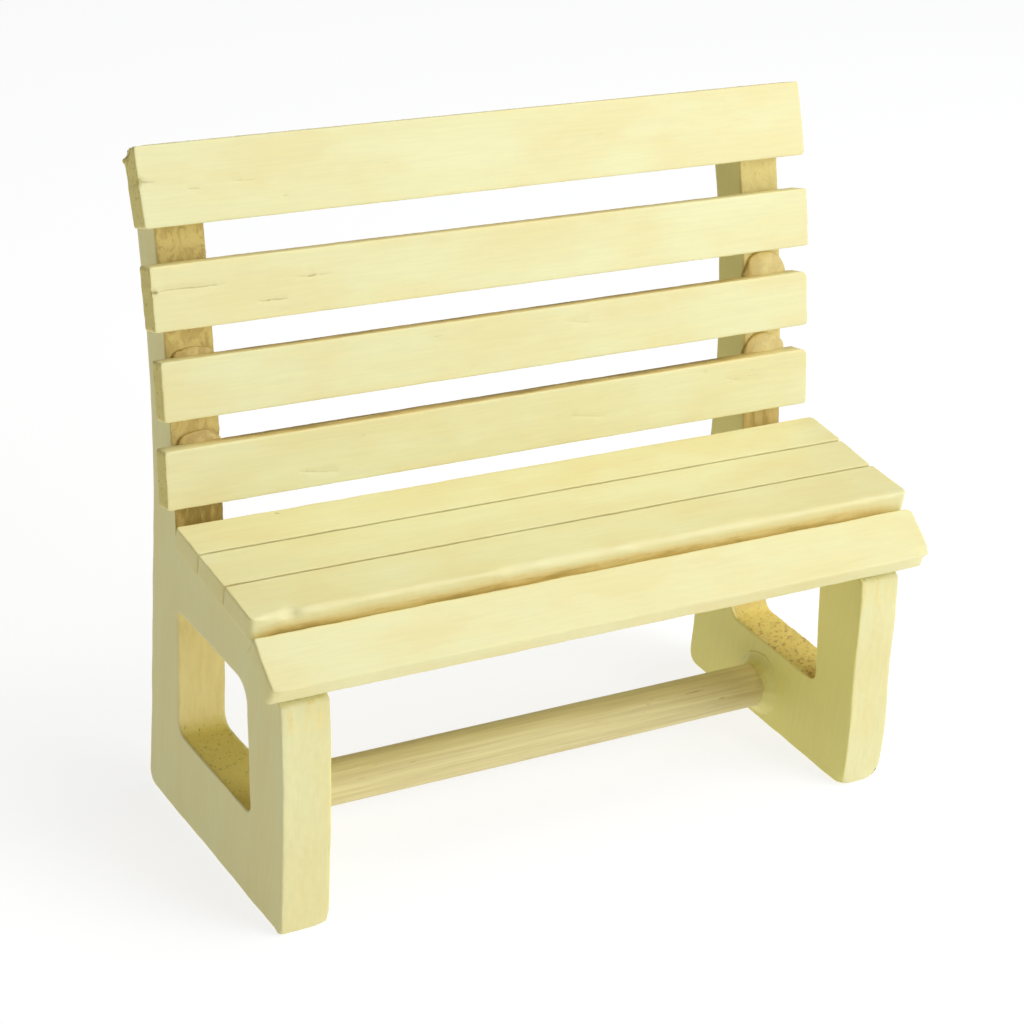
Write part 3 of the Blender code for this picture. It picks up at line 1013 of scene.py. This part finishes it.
cut_strips = [cut_strip(name, number) for number, name in enumerate(strips)]
print("strips:", {made.name: len(made.data.polygons) for made in cut_strips})

# %% [markdown]
# ## The two side boards
#
# A side board is leg, seat rail and back post in one, with a rounded window sawn through it.
# Its outline is already in the frame, as the border of its flat outer face, so the cell below
# follows that border instead of repeating its numbers. A border is the set of edges that only
# one flat face uses. Linked end to end, they make the outline and the window.

# %% Follow the outline of a side board
def face_borders(name, side):
    """Closed loops of (y, z) in mm round a node's outermost flat face, anticlockwise from +x."""
    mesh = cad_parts[name].data
    reach = max(v.co.x * side for v in mesh.vertices)
    spots = {}
    ids = [spots.setdefault((round(v.co.y / MM, 3), round(v.co.z / MM, 3)), len(spots))
           for v in mesh.vertices]
    after = set()
    for face in mesh.polygons:
        flat = face.normal.x * side > 0.999
        if flat and abs(face.center.x * side - reach) < 0.01 * MM:
            corners = [ids[i] for i in face.vertices]
            for pair in zip(corners, corners[1:] + corners[:1]):
                if pair[::-1] in after:
                    after.remove(pair[::-1])
                else:
                    after.add(pair)
    following = dict(after)
    places = list(spots)
    loops = []
    while following:
        spot, there = following.popitem()
        chain = [spot]
        while there in following:
            chain.append(there)
            there = following.pop(there)
        loop = np.array([places[i] for i in chain])
        loops.append(loop if side > 0 else loop[::-1])
    return sorted(loops, key=lambda loop: -np.ptp(loop[:, 1]))


def side_outline(name, side):
    """The outer outline and the window of a side board."""
    return [even_loop(loop, 0.36) for loop in face_borders(name, side)]


outlines = {
    "side_frame_left": side_outline("side_frame_left", -1),
    "side_frame_right": side_outline("side_frame_right", 1),
}
for name, loops in outlines.items():
    print(name, "points in outline and window:", [len(loop) for loop in loops])

# %% [markdown]
# ## What sets the side boards apart
#
# The two boards were cut to one pattern, but each by hand. The left one is thicker, its toe
# stands forward, and it stands nearly true. The right one leans a little, its post was left
# deeper, and its leg is hollowed. As with the strips, tables hold these differences.

# %% Differences between the side boards
# how rough the fronts of the posts are
POST_TORN = {"side_frame_left": 1.0, "side_frame_right": 0.25}
# how the boards stand a little out of square: mm out, mm out for each mm back, for each mm up
SKEW = {"side_frame_left": (0.05, 0.0, -0.0025), "side_frame_right": (-0.17, 0.012, 0.004)}
# how much thicker a board is than its plain shape, in mm
THICKER = {"side_frame_left": 0.3, "side_frame_right": 0.0}
# how deep the front of the leg is hollowed halfway up, and how far the toe stands out, in mm
LEG_HOLLOW = {"side_frame_left": 0.0, "side_frame_right": 0.7}
TOE_FORWARD = {"side_frame_left": 0.75, "side_frame_right": 0.0}
# how much further back the post was sawn than its line, in mm
POST_DEEPER = {"side_frame_left": 0.3, "side_frame_right": 1.1}


# %% [markdown]
# ## Stains and painted shade of the side boards
#
# The wash missed the inside of the window and the front of the posts between the slats. There
# the wood is bare, and torn and blotched as well, more on the left post than on the right.
# The fronts of the posts at the level of the seat and just above it are browned with painted
# shade, and under the front board the wash is patchy. The grain stands upright, so the window's
# sill shows open end grain, and the right board's sill is pitted and brown. The inner faces have
# a thinner, more yellow wash, which partly stands in for warm light bounced between the parts,
# and higher up they are darkened with painted shade under the seat.

# %% Stains and painted shade of the side boards
SEAT_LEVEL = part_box("seat_slat_1")[1].z / MM
UNDER_BOARD_LOW = 27
UNDER_BOARD_HIGH = 32
SEAT_SHADE_FROM = 22


def side_stains(name, thickness):
    """A function that tells where a side board is bare, torn, thinly washed and brown, and where
    painted shade darkens it.
    """
    inner = 1 if name == "side_frame_left" else -1
    window_front = outlines[name][1][:, 0].min()

    def stains(points, outward, owner):
        back, height, out = points.T
        from_inner = thickness / 2 - inner * out
        forward = outward[:, 0] < -0.5
        sill = (owner == 1) & (outward[:, 1] > 0.4)
        post_front = (owner == 0) & forward & (height > SEAT_LEVEL - 4)
        sole = (owner == 0) & (outward[:, 1] < -0.9)
        under_board = (owner == 0) & forward
        under_board &= (height > UNDER_BOARD_LOW) & (height < UNDER_BOARD_HIGH)
        rubbed_rim = np.where(sill, 0.1, 0.0) + 0.4 * wobble(points, 0.8, 7)
        pitted_sill = sill & (inner < 0)
        pits = 0.55 * np.clip(2.8 * wobble(points, 0.5, 3), 0, 1) * np.clip((7 - back) / 6, 0, 1)
        corner = 0.55 * np.clip(1 - (back - window_front - 0.8) / 2, 0, 1)
        pits = np.where(pitted_sill, 0.3 + np.maximum(pits, corner), 0.0)
        # painted shade: the inner faces are darkened more and more from 22 mm up, under the seat
        inner_face = outward[:, 2] * inner > 0.3
        painted_seat_shade = np.where(inner_face, np.clip((height - SEAT_SHADE_FROM) / 10, 0, 1), 0.0)
        bare = np.where(owner == 1, np.clip((from_inner - rubbed_rim) / 0.7, 0, 1), 0.0)
        bare = np.where(post_front, 1.0, np.where(sole, 0.4, np.where(under_board, 0.44, bare)))
        bare *= np.where(owner == -1, 0, 1 - outward[:, 2] ** 2)
        # painted shade: the post fronts at the level of the seat and just above it are browned
        painted_shade_gap = post_front & (height < SEAT_LEVEL + 5)
        return {
            "bare": bare,
            "torn": np.where(post_front, POST_TORN[name], np.where(pitted_sill, 1.0, 0.0)),
            # the inner faces get the full thin wash, which there partly stands in for warm bounced
            # light
            "thin": np.where(inner_face, 1.0, np.where(owner == -1, 0.35, 0.1)),
            "dirt_and_shade": np.where(painted_shade_gap, 0.95 if inner > 0 else 0.6, pits),
            "dark": 0.26 * painted_seat_shade,
        }

    return stains


# %% [markdown]
# ## Cutting the side boards
#
# The loops from the frame are moved out or in before the board is cut from them: first by a
# slow wobble, then by the deeper post, the hollowed leg and the forward toe. Small nicks round
# the toes. The wobble would push some of the sole through the floor, so in the end no point
# may lie below z = 0.

# %% Nicks of the side boards
def side_nicks(name, thickness):
    """Nicks that round the toe of a side board."""
    outline = outlines[name][0]
    face = thickness / 2
    toe = outline[np.argmin(outline[:, 0] + 1.5 * outline[:, 1])]
    if name == "side_frame_right":
        return ((*toe, face, 0.75, 1.4), (*toe, -face, 0.4, 0.9))
    return ((*toe, face, 0.6, 1.2),)


# %% Cut the side boards
BOARD_ARRIS = 0.3


def shaped_outline(name, loop):
    """How far the outer outline is moved out at each point to give a board its own shape."""
    normals = loop_normals(loop)
    height = loop[:, 1]
    behind = np.clip(normals[:, 0], 0, 1)
    before = np.clip(-normals[:, 0], 0, 1)
    shift = POST_DEEPER[name] * behind * np.clip((height - 12) / 20, 0, 1)
    shift -= LEG_HOLLOW[name] * before * np.exp(-(((height - 17) / 8) ** 2))
    return shift + TOE_FORWARD[name] * before * np.clip((10 - height) / 10, 0, 1)


def cut_side(name, seed):
    """One finished side board in the place of the plain one."""
    low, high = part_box(name)
    thickness = (high.x - low.x) / MM + THICKER[name]
    placed = {
        "corner": Vector(((low.x + high.x) / 2, 0, 0)),
        "axes": (Vector((0, 1, 0)), Vector((0, 0, 1)), Vector((1, 0, 0))),
    }
    loops = []
    for loop in outlines[name]:
        places = np.column_stack([loop, np.zeros(len(loop))])
        shift = 0.03 * wobble(places, 9, seed) + 0.015 * wobble(places, 1.5, seed + 1)
        if not loops:
            shift += shaped_outline(name, loop)
        loops.append(loop + loop_normals(loop) * shift[:, None])
    made = cut_board(
        "worn_" + name,
        placed,
        loops,
        thickness,
        (BOARD_ARRIS, BOARD_ARRIS),
        (0, 1),
        seed,
        rows=14,
        grid=1.4,
        rough=0.05,
        nicks=side_nicks(name, thickness),
        stains=side_stains(name, thickness),
        skew=SKEW[name],
    )
    for vertex in made.data.vertices:
        vertex.co.z = max(vertex.co.z, 0)
    made.data.materials.append(board_wood)
    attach(made, "root")
    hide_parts(name)
    return made


sides = [cut_side("side_frame_left", 301), cut_side("side_frame_right", 352)]
print("side boards:", {made.name: len(made.data.polygons) for made in sides})

# %% [markdown]
# ## The dowel
#
# The stretcher is a stock dowel that ties the boards together near the floor. It is turned, so
# it is round, but not perfectly: fine flutes run along it where soft grain wore away. Rows of
# points round its line give that shape, with a little noise on each point's distance.

# %% Turn the dowel
DOWEL_SIDES = 72
DOWEL_STATIONS = 160


def dowel_size():
    """The dowel's middle, and its radius and length in mm."""
    low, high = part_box("stretcher_dowel")
    return (low + high) / 2, (high.z - low.z) / 2 / MM, (high.x - low.x) / MM


def tube_faces(rows, sides, first):
    """Four-sided faces along rows of points round a tube, and the cap on its last row."""
    faces = []
    for row in range(rows):
        here = first + row * sides
        for k in range(sides):
            after = (k + 1) % sides
            faces.append((here + k, here + sides + k, here + sides + after, here + after))
    last = first + rows * sides
    return faces + [tuple(range(last + sides - 1, last - 1, -1))]


def turn_dowel():
    """A slightly fluted rod from board to board."""
    middle, radius, length = dowel_size()
    points = []
    for i in range(DOWEL_STATIONS + 1):
        x = length * (i / DOWEL_STATIONS - 0.5)
        for k in range(DOWEL_SIDES):
            angle = 2 * math.pi * k / DOWEL_SIDES
            direction = Vector((0, math.cos(angle), math.sin(angle)))
            flutes = noise.noise(Vector((x / 30, direction.y * 5, direction.z * 5)))
            waves = noise.noise(Vector((x / 12, direction.y + 7, direction.z)))
            reach = radius + 0.03 * flutes + 0.04 * waves - 0.03
            points.append(middle + (Vector((x, 0, 0)) + direction * reach) * MM)
    faces = tube_faces(DOWEL_STATIONS, DOWEL_SIDES, 0) + [tuple(range(DOWEL_SIDES))]
    made = smooth_piece("turned_dowel", points, faces, {})
    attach(made, "root")
    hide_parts("stretcher_dowel")
    return made


dowel = turn_dowel()
print("dowel faces:", len(dowel.data.polygons))

# %% [markdown]
# ## The dowel's finish
#
# The dowel never had any wash. It is bare close-grained wood: long streaks along x, fine fibres,
# and short reddish pores that come in patches. It needs no numbers from the mesh, so it is a
# simpler graph than the boards'.

# %% Dowel finish
DOWEL_TAN = (0.67, 0.555, 0.25, 1)
DOWEL_PALE = (0.79, 0.69, 0.33, 1)
PORE_RED = (0.26, 0.11, 0.04, 1)


def dowel_finish():
    """Bare close-grained wood: streaks along x, short reddish pores, a soft sheen."""
    finish, tree = new_finish("bare_dowel_wood")
    streaks = grain_noise(tree, 0, 30, 0.8, 4, 0.6)
    fibres = grain_noise(tree, 0, 10, 0.3, 4, 0.6)
    pores = grain_noise(tree, 0, 3.6, 0.26, 2, 0.55)
    patches = grain_noise(tree, 0, 20, 3, 2)
    colour = blend(tree, step_up(tree, streaks, 0.3, 0.7), DOWEL_TAN, DOWEL_PALE)
    shade = grey(tree, step_up(tree, fibres, 0.25, 0.75, 0.93, 1.03))
    colour = blend(tree, 1.0, colour, shade, "MULTIPLY")
    open_pores = times(tree, step_up(tree, pores, 0.66, 0.76),
                           step_up(tree, patches, 0.42, 0.6))
    colour = blend(tree, times(tree, open_pores, 0.6), colour, PORE_RED)
    relief = math_node(tree, "SUBTRACT", fibres, times(tree, open_pores, 1.2))
    bump = add(tree, "Bump", {"Strength": 0.5, "Distance": 0.05 * MM, "Height": relief})
    shader = add(
        tree,
        "BsdfPrincipled",
        {
            "Base Color": colour,
            "Roughness": step_up(tree, fibres, 0.3, 0.7, 0.5, 0.62),
            "Normal": bump.outputs[0],
            "Specular IOR Level": 0.4,
        },
    )
    add(tree, "OutputMaterial", {"Surface": shader.outputs[0]})
    return finish


dowel.data.materials.append(dowel_finish())
print("dowel finish:", dowel.data.materials[0].name)

# %% [markdown]
# ## Glue
#
# The bench is glued, and glue with sawdust in it squeezed out and set. It took on the colours
# of the wood that it lies on, so it wears the side boards' own finish instead of one of its
# own. The finish reads all of the stored numbers, so every piece of glue stores them all too.

# %% A piece of glue
STORED_NUMBERS = ("sawn", "end_grain", "edge", "dark", "bare", "thin", "torn", "dirt_and_shade")


def glue_piece(name, points, faces, numbers):
    """A smooth piece of glue on the bench, with the stored numbers of the board finish."""
    every = {label: numbers.get(label, 0.0) for label in STORED_NUMBERS}
    made = smooth_piece(name, points, faces, every)
    made.data.materials.append(board_wood)
    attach(made, "root")
    return made

# %% [markdown]
# ## Beads on the posts
#
# Above the two lowest back slats, a low bead of glue swells out of the front of each post. It is
# made of rings on an uneven oval that rise gently towards the middle. The last ring drops back
# into the post like a skirt, so the bead grows out of the wood and its rim never shows a gap.

# %% Beads on the posts
BEAD_RINGS = 12
BEAD_SIDES = 40
BEAD_SKIRT = 0.5
# side board, slat below, half width, height, how far it stands out, shift to the right, in mm
BEADS = (
    ("side_frame_right", "back_slat_3", 3.7, 3.4, 0.75, 0.4),
    ("side_frame_right", "back_slat_4", 3.6, 2.8, 0.65, 0.0),
    ("side_frame_left", "back_slat_3", 2.9, 1.0, 0.35, 0.2),
    ("side_frame_left", "back_slat_4", 2.9, 1.4, 0.4, 0.2),
)


def glue_bead(board, slat, half_width, height, proud, shift, seed):
    """A low uneven swelling between the front of a post and the slat below it."""
    strip = strips[slat]
    along, across, out = strip["axes"]
    low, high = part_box(board)
    foot = strip["corner"] + (across * strip["size"][1] - out * strip["size"][2] / 2) * MM
    foot.x = (low.x + high.x) / 2 + shift * MM
    points = [foot + out * proud * MM]
    dirt_and_shade = [0.0]
    for ring in range(1, BEAD_RINGS + 2):
        share = min(ring / BEAD_RINGS, 1.0)
        for k in range(BEAD_SIDES):
            angle = 2 * math.pi * k / BEAD_SIDES
            x = math.cos(angle)
            y = math.sin(angle)
            uneven = 1 + 0.1 * noise.noise(Vector((x * 1.3, y * 1.3, seed)))
            rise = proud * (1 - share**2) ** 1.3 - 0.06
            rise *= 1 + 0.35 * noise.noise(Vector((x * share * 2, y * share * 2, seed + 5)))
            if ring > BEAD_RINGS:
                rise -= BEAD_SKIRT
            reach = share * uneven
            spot = along * (x * half_width * reach) + across * (y * height * reach) + out * rise
            points.append(foot + spot * MM)
            # painted shade: the outer rings on the left of the bead are browned
            dirt_and_shade.append(0.6 * max(0.0, share - 0.5) / 0.5 * max(0.0, 0.6 - x))
    faces = [(0, 1 + k, 1 + (k + 1) % BEAD_SIDES) for k in range(BEAD_SIDES)]
    faces += tube_faces(BEAD_RINGS, BEAD_SIDES, 1)
    numbers = {"edge": 2.0, "bare": 1.0, "torn": 0.5 * POST_TORN[board] + 0.3, "dirt_and_shade": dirt_and_shade}
    return glue_piece("glue_bead_" + str(seed), points, faces, numbers)


beads = [glue_bead(*bead, number + 1) for number, bead in enumerate(BEADS)]
print("glue beads:", len(beads))

# %% [markdown]
# ## Collars round the dowel
#
# Where the dowel enters a side board, a fillet of glue runs round it, large on the right and
# small on the left, and was washed over with the board. A hollow quarter round is its section.
# Swept round the dowel, and swollen by noise on the way, it closes on itself like a ring.

# %% Collars round the dowel
COLLAR_SIDES = 72
# side board, which way its inner face looks, reach along the dowel, reach over the board, in mm
COLLARS = (("side_frame_right", -1, 1.5, 1.7), ("side_frame_left", 1, 0.6, 0.8))


def collar_section(radius, along_rod, over_board):
    """(distance from the dowel's axis, height above the board) round the collar's section."""
    arc = np.linspace(0, math.pi / 2, 9)
    top = [(radius + over_board * (1 - math.sin(a)) ** 0.8, along_rod * (1 - math.cos(a)) ** 0.8)
           for a in arc]
    return top + [(radius - 0.4, along_rod), (radius - 0.4, -0.25), (radius + over_board, -0.25)]


def glue_collar(board, side, along_rod, over_board, seed):
    """A fillet of glue where the dowel enters a side board."""
    middle, radius, _ = dowel_size()
    inner_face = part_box(board)[0].x if side < 0 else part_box(board)[1].x
    skew = SKEW[board]
    inner_face += (skew[0] + skew[1] * middle.y / MM + skew[2] * middle.z / MM) * MM
    section = collar_section(radius, along_rod, over_board)
    points = []
    dirt_and_shade = []
    for k in range(COLLAR_SIDES):
        angle = 2 * math.pi * k / COLLAR_SIDES
        y = math.cos(angle)
        z = math.sin(angle)
        swell = 1 + 0.22 * noise.noise(Vector((y * 1.2, z * 1.2, seed)))
        swell += 0.12 * noise.noise(Vector((y * 4, z * 4, seed + 9)))
        for number, (reach, height) in enumerate(section):
            reach = radius + (reach - radius) * swell
            x = inner_face + side * height * swell * MM
            points.append(Vector((x, middle.y + y * reach * MM, middle.z + z * reach * MM)))
            # painted shade: the two rings where the collar meets the dowel are browned
            dirt_and_shade.append(0.3 if number in (8, 9) else 0.0)
    faces = join_rings(COLLAR_SIDES, len(section), 0, closed=True)
    if side > 0:
        faces = [quad[::-1] for quad in faces]
    numbers = {"edge": 2.0, "thin": 0.8, "dirt_and_shade": dirt_and_shade}
    return glue_piece("glue_collar_" + str(seed), points, faces, numbers)


collars = [glue_collar(*collar, number + 1) for number, collar in enumerate(COLLARS)]
print("glue collars:", len(collars))

# %% [markdown]
# ## Bringing the scene up to date
#
# Wear must not change how big the bench is. The last cell only brings the scene up to date.

# %% Update the scene
bpy.context.view_layer.update()
